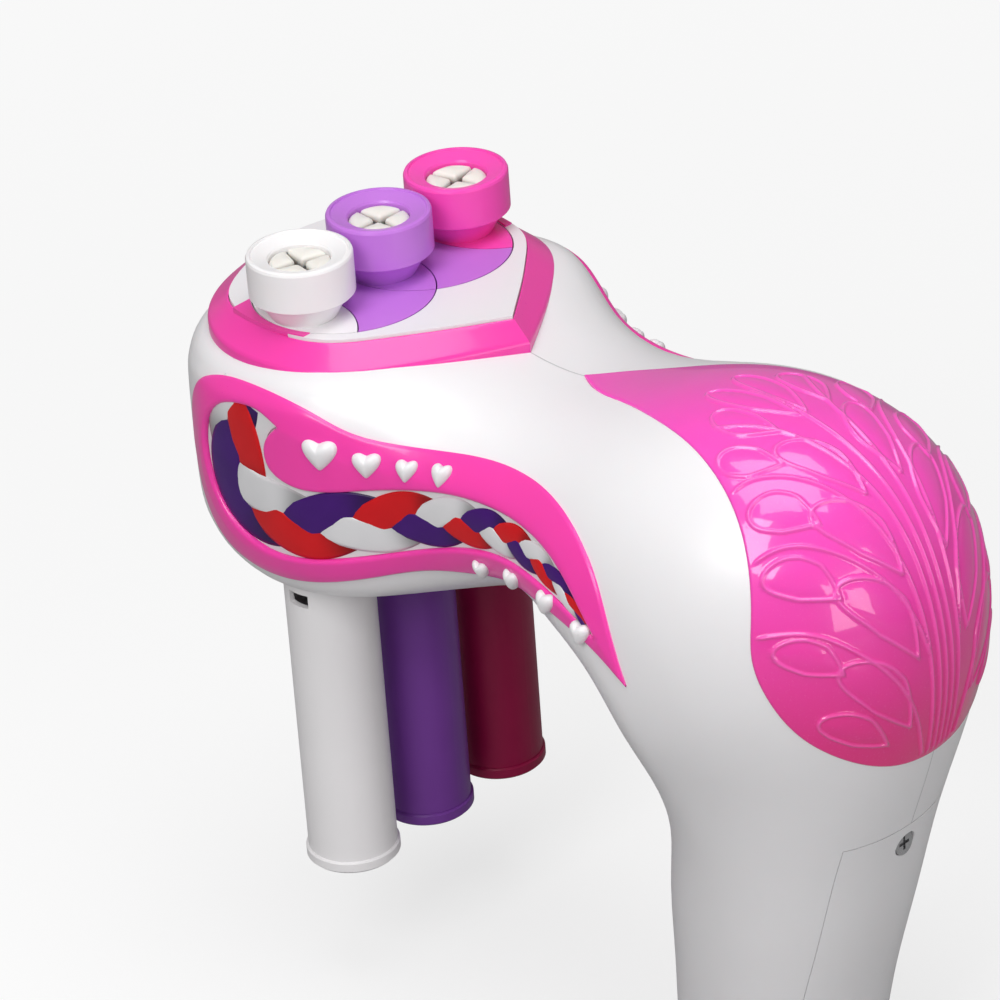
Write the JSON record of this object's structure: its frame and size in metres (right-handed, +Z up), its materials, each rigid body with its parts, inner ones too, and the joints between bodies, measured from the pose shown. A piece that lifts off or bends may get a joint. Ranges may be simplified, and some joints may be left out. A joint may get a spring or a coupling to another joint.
{
  "type": "automatic hair braider",
  "caption": "Handheld automatic hair braider: strand holders on crossing rotors in a broad head, a domed motor housing and a battery grip with a trigger.",
  "frame": {"origin": "centre of the flat base of the grip", "axes": "+X from the strand row towards the motor dome, along the length; +Y across, towards the pink strand holder; +Z up through the grip"},
  "size_m": [0.1597, 0.0784, 0.151],
  "materials": {
    "white_shell": "glossy white ABS, very slight texture",
    "white_holder": "glossy white ABS",
    "purple_holder": "glossy violet ABS",
    "pink_holder": "glossy hot pink ABS",
    "white_tube": "satin white ABS",
    "purple_tube": "satin violet ABS",
    "pink_tube": "satin deep pink ABS",
    "cream_jaw": "soft cream elastomer",
    "pink_trim": "glossy hot pink ABS",
    "pink_cover": "glossy hot pink ABS with a fine pearl",
    "braid_print": "white label with red and violet bands",
    "nylon": "natural nylon",
    "grey_frame": "grey ABS",
    "steel": "ground steel",
    "brass": "turned brass",
    "motor_can": "zinc plated steel",
    "circuit_board": "green glass-fibre board",
    "switch_black": "black",
    "cell_wrap": "unmarked dark sleeve"
  },
  "bodies": {
    "body": {"battery_cells": "cell_wrap", "battery_link": "steel", "battery_springs": "steel", "battery_tray": "grey_frame", "crown_shaft": "steel", "deck_plate": "white_shell", "dome_cover": "pink_cover", "driver_shaft": "steel", "gearbox_cover": "grey_frame", "gearbox_frame": "grey_frame", "gearbox_screws": "steel", "housing_screws": "steel", "left_braid_panel": "braid_print", "left_heart_studs": "white_holder", "left_housing": "white_shell", "left_idler_shaft": "steel", "left_swirl_trim": "pink_trim", "motor": "motor_can", "motor_terminals": "brass", "reverser_gear": "nylon", "reverser_shaft": "steel", "right_braid_panel": "braid_print", "right_collar": "pink_holder", "right_heart_studs": "white_holder", "right_holder": "pink_holder", "right_housing": "white_shell", "right_idler_gear": "nylon", "right_idler_shaft": "steel", "right_jaws": "cream_jaw", "right_rotor_hub": "purple_holder", "right_swirl_trim": "pink_trim", "right_tube": "pink_tube", "right_tube_foot": "pink_tube", "rotor_track": "grey_frame", "switch_board": "circuit_board", "tact_switch": "switch_black", "top_trim_ring": "pink_trim"},
    "left_rotor": {"left_rotor_hub": "purple_holder", "left_holder": "white_holder", "left_collar": "white_holder", "left_jaws": "cream_jaw", "left_tube": "white_tube", "left_tube_foot": "white_tube", "middle_holder": "purple_holder", "middle_collar": "purple_holder", "middle_jaws": "cream_jaw", "middle_tube": "purple_tube", "middle_tube_foot": "purple_tube"},
    "left_idler": {"left_idler_gear": "nylon"},
    "driver": {"driver_gear": "nylon"},
    "crown": {"crown_gear": "nylon"},
    "motor_drive": {"motor_pinion": "brass", "motor_shaft": "steel"},
    "trigger": {"trigger": "pink_trim", "trigger_spring": "steel"},
    "battery_door": {"battery_door": "white_shell", "door_screw": "steel"}
  },
  "joints": [
    {"name": "left_rotor_spin", "type": "hinge", "parent": "body", "child": "left_rotor", "pos_m": [-0.086, -0.01013, 0.123], "axis": [0, 0, 1], "range_deg": [0, 180]},
    {"name": "left_idler_spin", "type": "hinge", "parent": "body", "child": "left_idler", "pos_m": [-0.06164, -0.01355, 0.121], "axis": [0, 0, 1], "range_deg": [-361, 0]},
    {"name": "driver_spin", "type": "hinge", "parent": "body", "child": "driver", "pos_m": [-0.05395, 0, 0.113], "axis": [0, 0, 1], "range_deg": [0, 96.5]},
    {"name": "crown_spin", "type": "hinge", "parent": "body", "child": "crown", "pos_m": [-0.03715, 0, 0.117], "axis": [0, 0, 1], "range_deg": [-288.5, 0]},
    {"name": "motor_spin", "type": "hinge", "parent": "body", "child": "motor_drive", "pos_m": [-0.02455, 0, 0.11822], "axis": [1, 0, 0], "range_deg": [0, 1037.5]},
    {"name": "trigger_press", "type": "slide", "parent": "body", "child": "trigger", "axis": [1, 0, 0], "range_m": [0, 0.002], "stiffness_N_per_m": 250, "springref_m": -0.002, "deforming": ["trigger_spring"]},
    {"name": "door_pull", "type": "slide", "parent": "body", "child": "battery_door", "axis": [1, 0, 0], "range_m": [0, 0.012]}
  ],
  "couplings": [
    {"joint": "left_idler_spin", "follows": "left_rotor_spin", "ratio": -2},
    {"joint": "driver_spin", "follows": "left_rotor_spin", "ratio": 0.53333},
    {"joint": "crown_spin", "follows": "left_rotor_spin", "ratio": -1.6},
    {"joint": "motor_spin", "follows": "left_rotor_spin", "ratio": 5.76}
  ]
}
